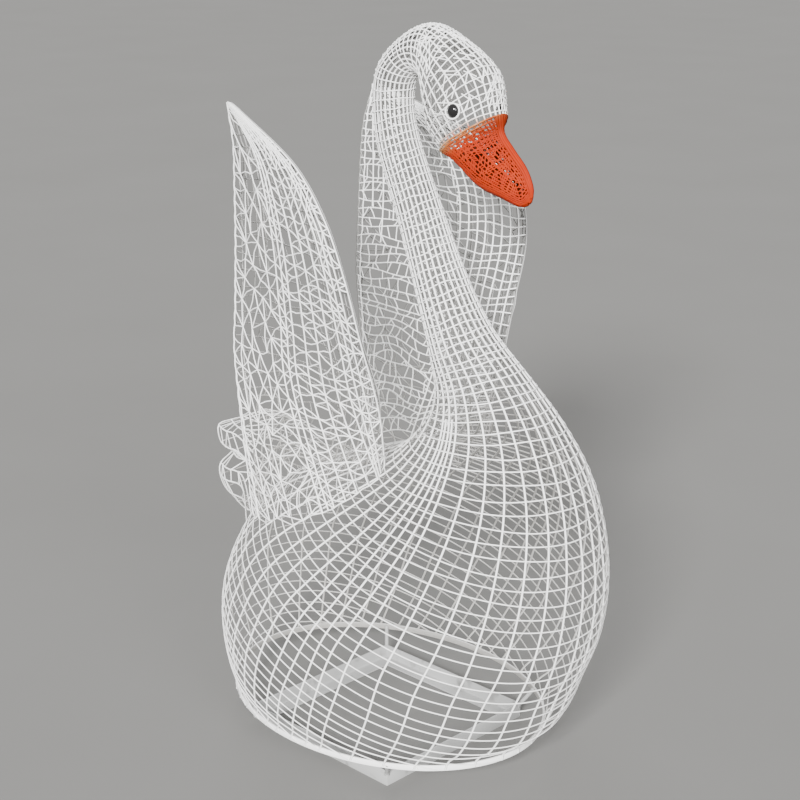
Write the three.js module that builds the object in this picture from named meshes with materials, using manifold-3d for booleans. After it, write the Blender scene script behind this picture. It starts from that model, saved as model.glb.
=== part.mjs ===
// Wire swan sculpture: an open lattice of white-painted steel wire on a ring and a square of steel angle.
// Millimetres, +Z up, +X is the way the swan faces, +Y is its left side.
import * as THREE from "three";
import { mergeVertices } from "three/addons/utils/BufferGeometryUtils.js";
import Module from "manifold-3d";

// Driving dimensions.
const FRAME_SIDE = 380;
const ANGLE_LEG = 30;
const ANGLE_WALL = 3;
const STRUT_RADIUS = 4;
const STRUT_SIDES = 8;
const RING_HALF_LENGTH = 344;
const RING_HALF_WIDTH = 263;
const RING_BOTTOM = 47;
const RING_HEIGHT = 18;
const RING_WALL = 4;
const RING_SEGMENTS = 24;
const WIRE_WIDTH = 6;
const WIRE_DEPTH = 5;
const GAP = 0.35;
const EYE_RADIUS = 9.5;
const EYE_SIDES = 10;
const EYE_ROWS = 7;

// Stations along the swan, from the face over the head and down the neck to the bottom of the body. Each is a
// ring: its centre (x, z), the way its back side points (degrees from +X), its half-length and its half-width.
const BODY_STATIONS = [
  { x: 213, z: 1206, lean: 32, long: 71, wide: 57 }, // face
  { x: 191, z: 1251, lean: 44, long: 84, wide: 69 }, // brow
  { x: 156, z: 1287, lean: 66, long: 75, wide: 60 }, // crown
  { x: 117, z: 1324, lean: 92, long: 55, wide: 47 }, // nape
  { x: 67, z: 1320, lean: 128, long: 38, wide: 37 }, // top of the bend
  { x: 30, z: 1285, lean: 169, long: 42, wide: 36 },
  { x: 21, z: 1230, lean: 192, long: 44, wide: 33 }, // upper neck
  { x: 34, z: 1161, lean: 204, long: 46, wide: 34 },
  { x: 83, z: 1051, lean: 209, long: 47, wide: 38 }, // middle of the neck
  { x: 138, z: 927, lean: 210, long: 51, wide: 48 },
  { x: 189, z: 828, lean: 207, long: 63, wide: 61 }, // foot of the neck
  { x: 242, z: 751, lean: 197, long: 92, wide: 83 },
  { x: 270, z: 678, lean: 184, long: 138, wide: 123 }, // shoulders
  { x: 266, z: 606, lean: 178, long: 191, wide: 166 },
  { x: 239, z: 536, lean: 170, long: 247, wide: 209 },
  { x: 195, z: 465, lean: 165, long: 302, wide: 248 }, // breast
  { x: 145, z: 396, lean: 161, long: 343, wide: 280 },
  { x: 92, z: 328, lean: 159, long: 366, wide: 300 },
  { x: 46, z: 251, lean: 159, long: 377, wide: 309 }, // widest
  { x: -3, z: 174, lean: 160, long: 366, wide: 301 },
  { x: -48, z: 93, lean: 160, long: 329, wide: 276 },
  { x: -94, z: 16, lean: 161, long: 272, wide: 229 }, // below the ring, cut off
  { x: -141, z: -49, lean: 162, long: 195, wide: 172 },
];
const LONG_WIRES = 12;
const CROSS_WIRES = [0, 0.95, 1.9, 2.8, 3.8, 4.8, 5.9, 7, 8.2, 9.5, 10.8, 12.1, 13.3, 14.4, 15.4, 16.4];
const LOW_CROSS_WIRES = 3;
const LOWEST_WIRE_ABOVE_RING = 4.5;
const LOWEST_Z = RING_BOTTOM + RING_HEIGHT + LOWEST_WIRE_ABOVE_RING;

// Wing levels: height, then the leading and trailing edges (x, distance from the middle plane) and the thickness.
const WING_LEVELS = [
  { z: 720, front: [141, 160], back: [-237, 168], thick: 88 },
  { z: 850, front: [140, 202], back: [-242, 160], thick: 64 },
  { z: 970, front: [137, 237], back: [-236, 160], thick: 50 },
  { z: 1070, front: [100, 248], back: [-232, 162], thick: 42 },
  { z: 1150, front: [8, 233], back: [-227, 166], thick: 30 },
  { z: 1216, front: [-165, 198], back: [-219, 182], thick: 13 },
];
// Where each wing's foot follows the body's wires: a long wire and a cross wire, counted from the breast and the face.
const WING_FOOT = [
  [4.5, 12], [4, 12], [4, 13], [4, 14], [4.4, 15],
  [4.7, 15], [5, 14.5], [5, 13.5], [5, 12.5],
];
// How far round the wing's section each of those wires meets it, in degrees from the leading edge.
const WING_TURNS = [0, 32, 75, 118, 156, 184, 218, 268, 320];
// The wing's section is this much flatter towards the trailing edge.
const WING_TAPER = 0.45;

// Tail levels, from the rump backwards: x, centre height, half-height, half-width and the share of the width left
// in the notch on each side, between the upper and the lower feathers.
const TAIL_LEVELS = [
  { x: -330, z: 458, high: 76, wide: 84, notch: 0.9 },
  { x: -385, z: 460, high: 78, wide: 80, notch: 0.65 },
  { x: -418, z: 462, high: 78, wide: 69, notch: 0.42 },
];
const TAIL_FOOT = [
  [6, 16], [7, 16], [7, 15.5], [7, 15], [6, 15], [5, 15], [5, 15.5], [5, 16],
];
// The tail's outline from the bottom round by the right, as shares of its half-width and its half-height.
const TAIL_OUTLINE = [[0, -1.25], [-1, -0.4], [-1, 0.22], [-1, 0.98], [0, 1], [1, 0.98], [1, 0.22], [1, -0.4]];
const TAIL_NOTCHES = [2, 6];

// Beak sections, from the face to the tip: the top and the bottom point (x, z) and the half-width.
const BEAK_SECTIONS = [
  { top: [277, 1237], bottom: [160, 1161], wide: 54 },
  { top: [280, 1206], bottom: [193, 1151], wide: 50 },
  { top: [302, 1181], bottom: [245, 1113], wide: 42 },
  { top: [331, 1152], bottom: [294, 1098], wide: 31 },
  { top: [346, 1124], bottom: [327, 1088], wide: 18 },
];
const BEAK_SIDES = 8;
// The beak's sections are wider below the middle than above it.
const BEAK_FULLNESS = 0.8;
const BEAK_TOP_TAPER = 0.5;
const BEAK_TIP = [345, 1101];
// How far the solid tip reaches back into the beak, as a share of its own length.
const TIP_DEPTH = 0.8;
const EYE_TURN = 108;
const EYE_STATION = 0.5;

// Limits where two wires cross: the flattest crossing, as a sine, and the share of a wire that one crossing may use.
const FLATTEST_CROSSING = 0.45;
const CROSSING_REACH = 0.4;
const MERGE_DISTANCE = 1e-3;
const STATION_TOLERANCE = 1e-4;

const wasm = await Module();
wasm.setup();

const COLOURS = {
  white: new THREE.MeshStandardMaterial({ color: 0xe9e9e6, roughness: 0.45, metalness: 0.1 }),
  orange: new THREE.MeshStandardMaterial({ color: 0xe2480f, roughness: 0.4, metalness: 0.05 }),
  black: new THREE.MeshStandardMaterial({ color: 0x0b0b0c, roughness: 0.12, metalness: 0 }),
};

const radians = THREE.MathUtils.degToRad;

// A smooth value between the rows of a table.
function along(table, key, place) {
  const last = table.length - 1;
  const first = Math.min(Math.max(Math.floor(place), 0), last - 1);
  const t = place - first;
  const at = (i) => table[Math.min(Math.max(i, 0), last)][key];
  const p0 = first > 0 ? at(first - 1) : 2 * at(first) - at(first + 1);
  const p3 = first + 2 <= last ? at(first + 2) : 2 * at(first + 1) - at(first);
  const p1 = at(first);
  const p2 = at(first + 1);
  const bend = (p2 - p0) * t + (2 * p0 - 5 * p1 + 4 * p2 - p3) * t * t + (3 * p1 - p0 - 3 * p2 + p3) * t * t * t;
  return p1 + bend / 2;
}

// A point of the body's surface: turn is in degrees from the breast towards the left, station counts the rings.
function bodyPoint(turn, station) {
  const lean = radians(along(BODY_STATIONS, "lean", station));
  const reach = -Math.cos(radians(turn)) * along(BODY_STATIONS, "long", station);
  return new THREE.Vector3(
    along(BODY_STATIONS, "x", station) + reach * Math.cos(lean),
    Math.sin(radians(turn)) * along(BODY_STATIONS, "wide", station),
    along(BODY_STATIONS, "z", station) + reach * Math.sin(lean),
  );
}

// The station at which a long wire comes down to a height.
function stationAtHeight(turn, height) {
  let low = CROSS_WIRES[CROSS_WIRES.length - 1];
  let high = BODY_STATIONS.length - 1;
  while (high - low > STATION_TOLERANCE) {
    const middle = (low + high) / 2;
    if (bodyPoint(turn, middle).z > height) low = middle;
    else high = middle;
  }
  return low;
}

// The place of cross wire number row on the long wire at turn. The last few close up evenly on the ring.
function crossWireStation(turn, row) {
  const upper = CROSS_WIRES.length - 1;
  const first = Math.floor(row);
  if (first < upper) {
    return THREE.MathUtils.lerp(CROSS_WIRES[first], CROSS_WIRES[first + 1], row - first);
  }
  const start = CROSS_WIRES[upper];
  return start + ((stationAtHeight(turn, LOWEST_Z) - start) * (row - upper)) / LOW_CROSS_WIRES;
}

function bodyNode(wire, row) {
  const turn = (wire * 360) / LONG_WIRES;
  return bodyPoint(turn, crossWireStation(turn, row));
}

// A closed solid from corner points and faces.
function solidFromFaces(points, faces) {
  const positions = new Float32Array(points.flatMap((p) => [p.x, p.y, p.z]));
  const geometry = new THREE.BufferGeometry();
  geometry.setAttribute("position", new THREE.BufferAttribute(positions, 3));
  geometry.setIndex(faces.flat());
  return toSolid(geometry);
}

function toSolid(source) {
  const plain = source.clone();
  plain.deleteAttribute("normal");
  plain.deleteAttribute("uv");
  const merged = mergeVertices(plain, MERGE_DISTANCE);
  const vertProperties = new Float32Array(merged.attributes.position.array);
  const triVerts = new Uint32Array(merged.index.array);
  const solid = new wasm.Manifold(new wasm.Mesh({ numProp: 3, vertProperties, triVerts }));
  if (solid.volume() > 0) return solid;
  triVerts.reverse();
  return new wasm.Manifold(new wasm.Mesh({ numProp: 3, vertProperties, triVerts }));
}

function toGeometry(solid) {
  const mesh = solid.getMesh();
  const geometry = new THREE.BufferGeometry();
  geometry.setAttribute("position", new THREE.BufferAttribute(new Float32Array(mesh.vertProperties), 3));
  geometry.setIndex(new THREE.BufferAttribute(new Uint32Array(mesh.triVerts), 1));
  geometry.computeVertexNormals();
  return geometry;
}

// A shell of crossing flat wires over a grid of nodes: columns close on themselves, rows run from end to end.
function lattice(nodes, width, depth) {
  const columns = nodes.length;
  const rows = nodes[0].length;
  const node = (i, j) => nodes[(i + columns) % columns][j];
  const points = [];
  const SIDES = [[1, 1], [-1, 1], [-1, -1], [1, -1]];
  const toward = (from, to, sign) => to.clone().sub(from).multiplyScalar(sign).normalize();
  for (let i = 0; i < columns; i += 1) {
    for (let j = 0; j < rows; j += 1) {
      const here = node(i, j);
      const before = node(i, Math.max(j - 1, 0));
      const after = node(i, Math.min(j + 1, rows - 1));
      const round = toward(node(i - 1, j), node(i + 1, j), 1);
      const down = toward(before, after, 1);
      const normal = round.clone().cross(down).normalize().multiplyScalar(depth / 2);
      SIDES.forEach(([side, end]) => {
        const nextRow = j + end;
        const inside = nextRow >= 0 && nextRow < rows;
        const a = toward(here, node(i + side, j), 1);
        const b = inside ? toward(here, node(i, nextRow), 1) : down.clone().multiplyScalar(end);
        const sine = Math.max(a.clone().cross(b).length(), FLATTEST_CROSSING);
        const roomA = CROSSING_REACH * here.distanceTo(node(i + side, j));
        const roomB = inside ? CROSSING_REACH * here.distanceTo(node(i, nextRow)) : Infinity;
        const stepA = Math.min(width / 2 / sine, roomA);
        const stepB = Math.min(width / 2 / sine, roomB);
        const corner = here.clone().addScaledVector(a, stepA).addScaledVector(b, stepB);
        points.push(corner.clone().add(normal), corner.clone().sub(normal));
      });
    }
  }
  // Corner numbers: 0 and 1 are on the far side of the row, 0 and 3 on the side of the next column.
  const corner = (i, j, k, layer) => (((i % columns) * rows + j) * 4 + k) * 2 + layer;
  const faces = [];
  const quad = (a, b, c, d) => faces.push([a, b, c], [a, c, d]);
  const bothLayers = (list) => {
    quad(...list.map(([i, j, k]) => corner(i, j, k, 0)));
    quad(...list.map(([i, j, k]) => corner(i, j, k, 1)).reverse());
  };
  const wall = ([i, j, k], [m, n, q]) => {
    quad(corner(i, j, k, 0), corner(m, n, q, 0), corner(m, n, q, 1), corner(i, j, k, 1));
  };
  for (let i = 0; i < columns; i += 1) {
    for (let j = 0; j < rows; j += 1) {
      bothLayers([[i, j, 0], [i, j, 1], [i, j, 2], [i, j, 3]]);
      bothLayers([[i, j, 3], [i + 1, j, 2], [i + 1, j, 1], [i, j, 0]]);
      if (j < rows - 1) {
        bothLayers([[i, j, 0], [i, j + 1, 3], [i, j + 1, 2], [i, j, 1]]);
        wall([i, j, 0], [i + 1, j, 1]);
        wall([i + 1, j, 1], [i + 1, j + 1, 2]);
        wall([i + 1, j + 1, 2], [i, j + 1, 3]);
        wall([i, j + 1, 3], [i, j, 0]);
      }
    }
    wall([i, 0, 3], [i, 0, 2]);
    wall([i + 1, 0, 2], [i, 0, 3]);
    wall([i, rows - 1, 1], [i, rows - 1, 0]);
    wall([i, rows - 1, 0], [i + 1, rows - 1, 1]);
  }
  return solidFromFaces(points, faces);
}

function bodyGrid() {
  const rows = CROSS_WIRES.length + LOW_CROSS_WIRES;
  return Array.from({ length: LONG_WIRES }, (_, wire) =>
    Array.from({ length: rows }, (_, row) => bodyNode(wire, row)),
  );
}

// A section round the wing: a rounded leading edge, a sharper trailing edge, bulging away from the middle plane.
function wingPoint(level, turn, side) {
  const front = new THREE.Vector2(...level.front);
  const back = new THREE.Vector2(...level.back);
  const chord = front.clone().sub(back);
  const outward = new THREE.Vector2(-chord.y, chord.x).normalize();
  const angle = radians(turn);
  const reach = (1 + Math.cos(angle)) / 2;
  const fullness = 1 - WING_TAPER * Math.sin(angle / 2) ** 2;
  const bulge = (level.thick / 2) * Math.sin(angle) * fullness;
  const flat = back.clone().addScaledVector(chord, reach).addScaledVector(outward, bulge);
  return new THREE.Vector3(flat.x, side * flat.y, level.z);
}

function wingGrid(side) {
  return WING_FOOT.map(([wire, row], i) => {
    const foot = bodyNode(wire, row);
    const ends = [foot.setY(foot.y * side)];
    WING_LEVELS.forEach((level) => ends.push(wingPoint(level, WING_TURNS[i], side)));
    return ends;
  });
}

// One corner of a section across the tail.
function tailPoint(level, corner) {
  const [across, up] = TAIL_OUTLINE[corner];
  const waist = TAIL_NOTCHES.includes(corner) ? level.notch : 1;
  return new THREE.Vector3(level.x, across * level.wide * waist, level.z + up * level.high);
}

function tailGrid() {
  return TAIL_FOOT.map(([wire, row], i) => {
    const points = [bodyNode(wire, row)];
    TAIL_LEVELS.forEach((level) => points.push(tailPoint(level, i)));
    return points;
  });
}

function beakGrid() {
  return Array.from({ length: BEAK_SIDES }, (_, i) => {
    const angle = (i * 2 * Math.PI) / BEAK_SIDES;
    return BEAK_SECTIONS.map(({ top, bottom, wide }) => {
      const share = (1 + Math.cos(angle)) / 2;
      return new THREE.Vector3(
        THREE.MathUtils.lerp(bottom[0], top[0], share),
        wide * Math.sin(angle) * (BEAK_FULLNESS - BEAK_TOP_TAPER * Math.cos(angle)),
        THREE.MathUtils.lerp(bottom[1], top[1], share),
      );
    });
  });
}

// The solid rounded tip that closes the beak's wires.
function beakTip(grid) {
  const ends = grid.map((column) => column[column.length - 1]);
  const middle = ends.reduce((sum, p) => sum.add(p), new THREE.Vector3()).divideScalar(ends.length);
  const tip = new THREE.Vector3(BEAK_TIP[0], 0, BEAK_TIP[1]);
  const inside = middle.clone().lerp(tip, -TIP_DEPTH);
  const points = [...ends, inside, tip];
  const faces = ends.flatMap((_, i) => {
    const next = (i + 1) % ends.length;
    return [[i, next, ends.length], [next, i, ends.length + 1]];
  });
  return solidFromFaces(points, faces);
}

function ball(centre, radius) {
  const sphere = new THREE.SphereGeometry(radius, EYE_SIDES, EYE_ROWS);
  sphere.translate(centre.x, centre.y, centre.z);
  return toSolid(sphere);
}

function eyeCentre(side) {
  const centre = bodyPoint(EYE_TURN, EYE_STATION);
  return centre.setY(centre.y * side);
}

// A straight flat hoop that stands on its edge and follows an ellipse.
function hoop() {
  const outline = (inset) => {
    const path = new THREE.Path();
    path.absellipse(0, 0, RING_HALF_LENGTH - inset, RING_HALF_WIDTH - inset, 0, 2 * Math.PI, false, 0);
    return path;
  };
  const shape = new THREE.Shape(outline(-RING_WALL / 2).getPoints(RING_SEGMENTS));
  shape.holes.push(new THREE.Path(outline(RING_WALL / 2).getPoints(RING_SEGMENTS)));
  const band = new THREE.ExtrudeGeometry(shape, { depth: RING_HEIGHT, bevelEnabled: false, steps: 1 });
  band.translate(0, 0, RING_BOTTOM);
  return toSolid(band);
}

function box(size, centre) {
  const block = new THREE.BoxGeometry(...size);
  block.translate(...centre);
  return toSolid(block);
}

// The square of steel angle: one leg flat on the ground, the other standing at the outside.
function angleSquare() {
  const inner = FRAME_SIDE - 2 * ANGLE_WALL;
  const opening = FRAME_SIDE - 2 * ANGLE_LEG;
  const whole = box([FRAME_SIDE, FRAME_SIDE, ANGLE_LEG], [0, 0, ANGLE_LEG / 2]);
  const tray = box([inner, inner, ANGLE_LEG], [0, 0, ANGLE_LEG / 2 + ANGLE_WALL]);
  const hole = box([opening, opening, 2 * ANGLE_LEG], [0, 0, 0]);
  return whole.subtract(tray).subtract(hole);
}

// A short round strut that leans out from a corner of the frame to the inside of the ring.
function strut(signX, signY) {
  const foot = FRAME_SIDE / 2 - ANGLE_WALL;
  const inner = 1 / Math.hypot(1 / (RING_HALF_LENGTH - RING_WALL / 2), 1 / (RING_HALF_WIDTH - RING_WALL / 2));
  const from = new THREE.Vector3(signX * foot, signY * foot, ANGLE_LEG - ANGLE_WALL);
  const to = new THREE.Vector3(signX * inner, signY * inner, RING_BOTTOM + RING_HEIGHT / 2);
  const rod = new THREE.CylinderGeometry(STRUT_RADIUS, STRUT_RADIUS, from.distanceTo(to), STRUT_SIDES);
  const turn = new THREE.Quaternion().setFromUnitVectors(
    new THREE.Vector3(0, 1, 0),
    to.clone().sub(from).normalize(),
  );
  rod.applyQuaternion(turn);
  const middle = from.clone().add(to).divideScalar(2);
  rod.translate(middle.x, middle.y, middle.z);
  return toSolid(rod);
}

// The largest of the bodies that a cut leaves.
function largest(solid) {
  const bodies = solid.decompose();
  return bodies.reduce((best, next) => (next.volume() > best.volume() ? next : best));
}

const swan = new THREE.Group();

function addPiece(name, solid, material) {
  const mesh = new THREE.Mesh(toGeometry(solid), material);
  mesh.name = name;
  swan.add(mesh);
}

const grid = bodyGrid();
const body = lattice(grid, WIRE_WIDTH, WIRE_DEPTH);
const bodyWithGap = lattice(grid, WIRE_WIDTH + 2 * GAP, WIRE_DEPTH + 2 * GAP);

const ring = hoop();
const ringWithGap = [-1, 1].reduce(
  (sum, step) => sum.add(ring.translate([0, 0, step * GAP])).add(ring.translate([step * GAP, step * GAP, 0])),
  ring,
);
const struts = [[1, 1], [1, -1], [-1, 1], [-1, -1]].map(([signX, signY]) => strut(signX, signY));
const frame = struts.reduce((sum, next) => sum.add(next), angleSquare()).subtract(ringWithGap);

addPiece("base_frame", frame, COLOURS.white);
addPiece("base_ring", ring, COLOURS.white);
addPiece("body", body, COLOURS.white);
[[-1, "right"], [1, "left"]].forEach(([side, word]) => {
  const wing = lattice(wingGrid(side), WIRE_WIDTH, WIRE_DEPTH);
  addPiece(word + "_wing", largest(wing.subtract(bodyWithGap)), COLOURS.white);
  const eye = ball(eyeCentre(side), EYE_RADIUS);
  addPiece(word + "_eye", largest(eye.subtract(bodyWithGap)), COLOURS.black);
});
addPiece("tail", largest(lattice(tailGrid(), WIRE_WIDTH, WIRE_DEPTH).subtract(bodyWithGap)), COLOURS.white);
const bill = beakGrid();
addPiece(
  "beak",
  largest(lattice(bill, WIRE_WIDTH, WIRE_DEPTH).add(beakTip(bill)).subtract(bodyWithGap)),
  COLOURS.orange,
);

// The origin is on the ground under the middle of the whole swan.
const bounds = new THREE.Box3().setFromObject(swan, true);
const middle = bounds.getCenter(new THREE.Vector3());
swan.children.forEach((mesh) => mesh.geometry.translate(-middle.x, -middle.y, -bounds.min.z));

export default swan;
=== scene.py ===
import math
import random

import bpy
from mathutils import Matrix, Vector
from mathutils.geometry import delaunay_2d_cdt
from mathutils.kdtree import KDTree


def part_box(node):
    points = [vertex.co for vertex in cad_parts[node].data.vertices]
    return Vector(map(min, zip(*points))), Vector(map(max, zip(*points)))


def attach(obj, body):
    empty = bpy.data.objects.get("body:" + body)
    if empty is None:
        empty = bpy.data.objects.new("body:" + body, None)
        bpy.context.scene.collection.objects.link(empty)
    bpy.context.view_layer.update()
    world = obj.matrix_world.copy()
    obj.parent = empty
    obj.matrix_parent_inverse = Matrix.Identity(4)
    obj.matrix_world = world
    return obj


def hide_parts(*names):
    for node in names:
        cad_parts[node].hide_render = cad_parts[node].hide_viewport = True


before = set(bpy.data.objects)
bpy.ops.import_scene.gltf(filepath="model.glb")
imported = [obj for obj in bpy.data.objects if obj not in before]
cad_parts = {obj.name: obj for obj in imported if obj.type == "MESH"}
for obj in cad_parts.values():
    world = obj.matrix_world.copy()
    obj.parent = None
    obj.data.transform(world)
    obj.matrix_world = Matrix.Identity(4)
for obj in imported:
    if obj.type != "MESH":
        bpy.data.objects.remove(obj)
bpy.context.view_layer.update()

# Wire lattice swan: an open net of white-painted wire on a ring and a square of steel angle.
# Sizes are millimetres in the swan's own frame: origin on the ground in the middle of the square base,
# +X the way the swan faces, +Y its left side. row_point turns them into the part's frame, in metres.
MM = 0.001
BASE_LOW, BASE_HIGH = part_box("base_frame")
BASE_CENTRE_X = (BASE_LOW.x + BASE_HIGH.x) / 2
RING_LOW, RING_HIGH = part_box("base_ring")

# Wire radii, and how far the two layers of the body's net lie off its skin.
LONG_WIRE = 1.95
CROSS_WIRE = 1.25
WING_WIRE = 1.6
WEB_WIRE = 1.25
BEAK_BAND = 1.8
BEAK_WIRE = 1.45
BEAK_RIDGE = 2.9
LONG_WIRE_OUT = -2.4
CROSS_WIRE_OUT = -0.6

# The radii of the welds, and how far apart the points of the body's wires lie.
BODY_WELD = 2.2
WEB_WELD = 1.9
LONG_WIRE_STEP = 13
CROSS_WIRE_STEP = 15

# How thin the head's wires are beside the body's, and the height from which and over which they get so.
HEAD_THINNING = 0.82
THINNING_FROM = 900.0
THINNING_OVER = 250.0

# Eyes: the ball's radius and its stretch along each axis, then the radius of the wire round it and how far that ring
# is turned forwards and upwards.
EYE_RADIUS = 12.0
EYE_SHAPE = (0.92, 0.72, 1.05)
SOCKET_WIRE = 1.5
SOCKET_AIM = (0.25, 0.18)

# Base: the square of angle, its struts, and the ring. RING_SEAT is the height at which the wires end on the ring.
FRAME_SIDE = 380.0
ANGLE_LEG = 30.0
ANGLE_WALL = 3.0
STRUT_RADIUS = 4.0
RING_WALL = 4.0
RING_HEIGHT = 11.0
RING_SEAT = 56.0
RING_OUTLINE = (346.0, 265.0)
# Over this height above the ring the body's wires draw in to it.
RING_BLEND = 45.0
# Welds of the base: at a strut's ends, and up the mitre of each corner.
STRUT_FOOT_WELD = 6.0
STRUT_TOP_WELD = 5.5
CORNER_WELD_HEIGHTS = (4, 11, 18, 25)
CORNERS = ((1, 1), (-1, 1), (-1, -1), (1, -1))

# Stations along the swan, from the face over the head and down the neck to the bottom of the body. Each is a
# ring: its centre (x, z), the way its back side points (degrees from +X), its half-length and its half-width.
BODY_STATIONS = [
    (213, 1206, 32, 71, 57),
    (191, 1251, 44, 84, 69),
    (156, 1287, 66, 75, 60),
    (117, 1324, 92, 55, 47),
    (67, 1320, 128, 38, 37),
    (30, 1285, 169, 42, 36),
    (21, 1230, 192, 44, 33),
    (34, 1161, 204, 46, 34),
    (83, 1051, 209, 47, 38),
    (138, 927, 210, 51, 48),
    (189, 828, 207, 63, 61),
    (242, 751, 197, 92, 83),
    (270, 678, 184, 138, 123),
    (266, 606, 178, 191, 166),
    (239, 536, 170, 247, 209),
    (195, 465, 165, 302, 248),
    (145, 396, 161, 343, 280),
    (92, 328, 159, 366, 300),
    (46, 251, 159, 377, 309),
    (-3, 174, 160, 366, 301),
    (-48, 93, 160, 329, 276),
    (-94, 16, 161, 272, 229),
    (-141, -49, 162, 195, 172),
]

# Long wires of one side, from the breast (0) to the back (180): where each runs on the neck, where it crosses
# the shoulders, where it meets the ring (degrees round the body), and the station at which it starts.
LONG_WIRES = [
    (0, 0, 0, 0),
    (13, 10.5, 8, 0),
    (26, 21, 18, 0),
    (39, 33.5, 27, 0),
    (52, 45.5, 36.5, 0),
    (65, 58, 46, 0),
    (78, 71, 56, 0),
    (92, 82.5, 66, 0),
    (99, 87, 72, 11.5),
    (106, 90.5, 78, 0),
    (113, 94, 84, 11.5),
    (120, 98, 90, 0),
    (127, 104, 97, 12),
    (135, 111, 104, 0),
    (142, 119, 112, 12),
    (148, 128, 120, 0),
    (154, 137, 129, 12.5),
    (160, 147, 139, 0),
    (170, 158, 150, 0),
    (175, 169, 163, 12.5),
    (180, 180, 180, 0),
]
NECK_FOOT = 8.5
SHOULDER = 12.3
RING_STATION = 20.5
FACE_STATION = -0.12
LAST_STATION = len(BODY_STATIONS) - 1

# Cross wires: the gap between them on the neck, how much wider it gets on the body and over which stations, and
# how far a wire wanders from its station.
NECK_SPACING = 15.5
BODY_SPACING_GAIN = 8.0
WIDER_FROM = 10.5
WIDER_OVER = 2.5
WANDER = 0.02
SPACING_TURN = 60
STATION_STEP = 0.01
LINE_STEP = 0.05

# The crown's extra cross wires lie up to this station, and further round than this turn from the breast.
CROWN_END = 5.4
CROWN_TURN = 98

# Slanting struts of the head: how many are tried, the stations and turns that they lie between, how far round one
# reaches, and how far up or down.
HEAD_STRUTS = 2600
STRUT_STATIONS = (0.3, 3.0)
STRUT_TURNS = (80, 270)
STRUT_REACH = (8, 18)
STRUT_RISE = 0.28


def row_point(x, y, z):
    return Vector((x * MM + BASE_CENTRE_X, y * MM, z * MM))


def swan_point(place):
    """The other way round: from the part's frame to the swan's own."""
    return Vector(((place.x - BASE_CENTRE_X) / MM, place.y / MM, place.z / MM))


def blend(a, b, share):
    return a + (b - a) * share


def ease(share):
    share = min(max(share, 0.0), 1.0)
    return share * share * (3 - 2 * share)


def smooth_row(rows, place):
    """The values between the rows of a table, on a smooth curve through them."""
    last = len(rows) - 1
    first = min(max(math.floor(place), 0), last - 1)
    t = place - first
    p1, p2 = rows[first], rows[first + 1]
    p0 = rows[first - 1] if first > 0 else [2 * a - b for a, b in zip(p1, p2)]
    p3 = rows[first + 2] if first + 2 <= last else [2 * b - a for a, b in zip(p1, p2)]
    return [
        b + ((c - a) * t + (2 * a - 5 * b + 4 * c - d) * t * t + (3 * b - a - 3 * c + d) * t ** 3) / 2
        for a, b, c, d in zip(p0, p1, p2, p3)
    ]


def body_point(turn, station, out=0.0):
    """A point of the body: turn is degrees from the breast towards the left, out is the height above the skin."""
    x, z, lean, long, wide = smooth_row(BODY_STATIONS, station)
    reach = -math.cos(math.radians(turn)) * (long + out)
    side = math.sin(math.radians(turn)) * (wide + out)
    lean = math.radians(lean)
    return Vector((x + reach * math.cos(lean), side, z + reach * math.sin(lean)))


def resample(points, spacing):
    """The same line with its points evenly spaced."""
    lengths = [0.0]
    for a, b in zip(points, points[1:]):
        lengths.append(lengths[-1] + (b - a).length)
    count = max(2, round(lengths[-1] / spacing) + 1)
    result = []
    j = 0
    for i in range(count):
        target = lengths[-1] * i / (count - 1)
        while j < len(points) - 2 and lengths[j + 1] < target:
            j += 1
        step = lengths[j + 1] - lengths[j]
        result.append(points[j].lerp(points[j + 1], (target - lengths[j]) / step if step else 0.0))
    return result


def seat_on_ring(point):
    """Draws a wire's end in to the outer face of the ring."""
    closeness = ease((RING_SEAT + RING_BLEND - point.z) / RING_BLEND)
    if not closeness:
        return point
    reach = math.hypot(point.x / RING_OUTLINE[0], point.y / RING_OUTLINE[1])
    wanted = Vector((point.x / reach, point.y / reach, point.z))
    return point.lerp(wanted, closeness)


def above_ring(points):
    """The runs of a line that lie above the ring, ending on it."""
    runs, run = [], []
    for a, b in zip(points, points[1:]):
        if a.z > RING_SEAT:
            run.append(a)
        if (a.z > RING_SEAT) != (b.z > RING_SEAT):
            crossing = a.lerp(b, (a.z - RING_SEAT) / (a.z - b.z))
            run.append(crossing)
            if b.z <= RING_SEAT:
                runs.append(run)
                run = []
    if points[-1].z > RING_SEAT:
        run.append(points[-1])
    if len(run) > 1:
        runs.append(run)
    return [[seat_on_ring(p) for p in r] for r in runs]


# Meshes of wire.

def deselect_all():
    for item in bpy.context.selected_objects:
        item.select_set(False)


def thinned(point):
    """The wires on the neck and head are a little thinner than on the body."""
    return blend(1.0, HEAD_THINNING, ease((point.z - THINNING_FROM) / THINNING_OVER))


def mark_inside(piece, outward):
    """Stores how far each point of a net faces inwards. outward gives the way out at a place of the swan."""
    mesh = piece.data
    inside = mesh.attributes.new("inside", "FLOAT", "POINT")
    for vertex, normal, mark in zip(mesh.vertices, mesh.vertex_normals, inside.data):
        away = outward(swan_point(vertex.co)).normalized()
        mark.value = min(max(0.5 - 0.9 * away.dot(normal.vector), 0.0), 1.0)


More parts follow.
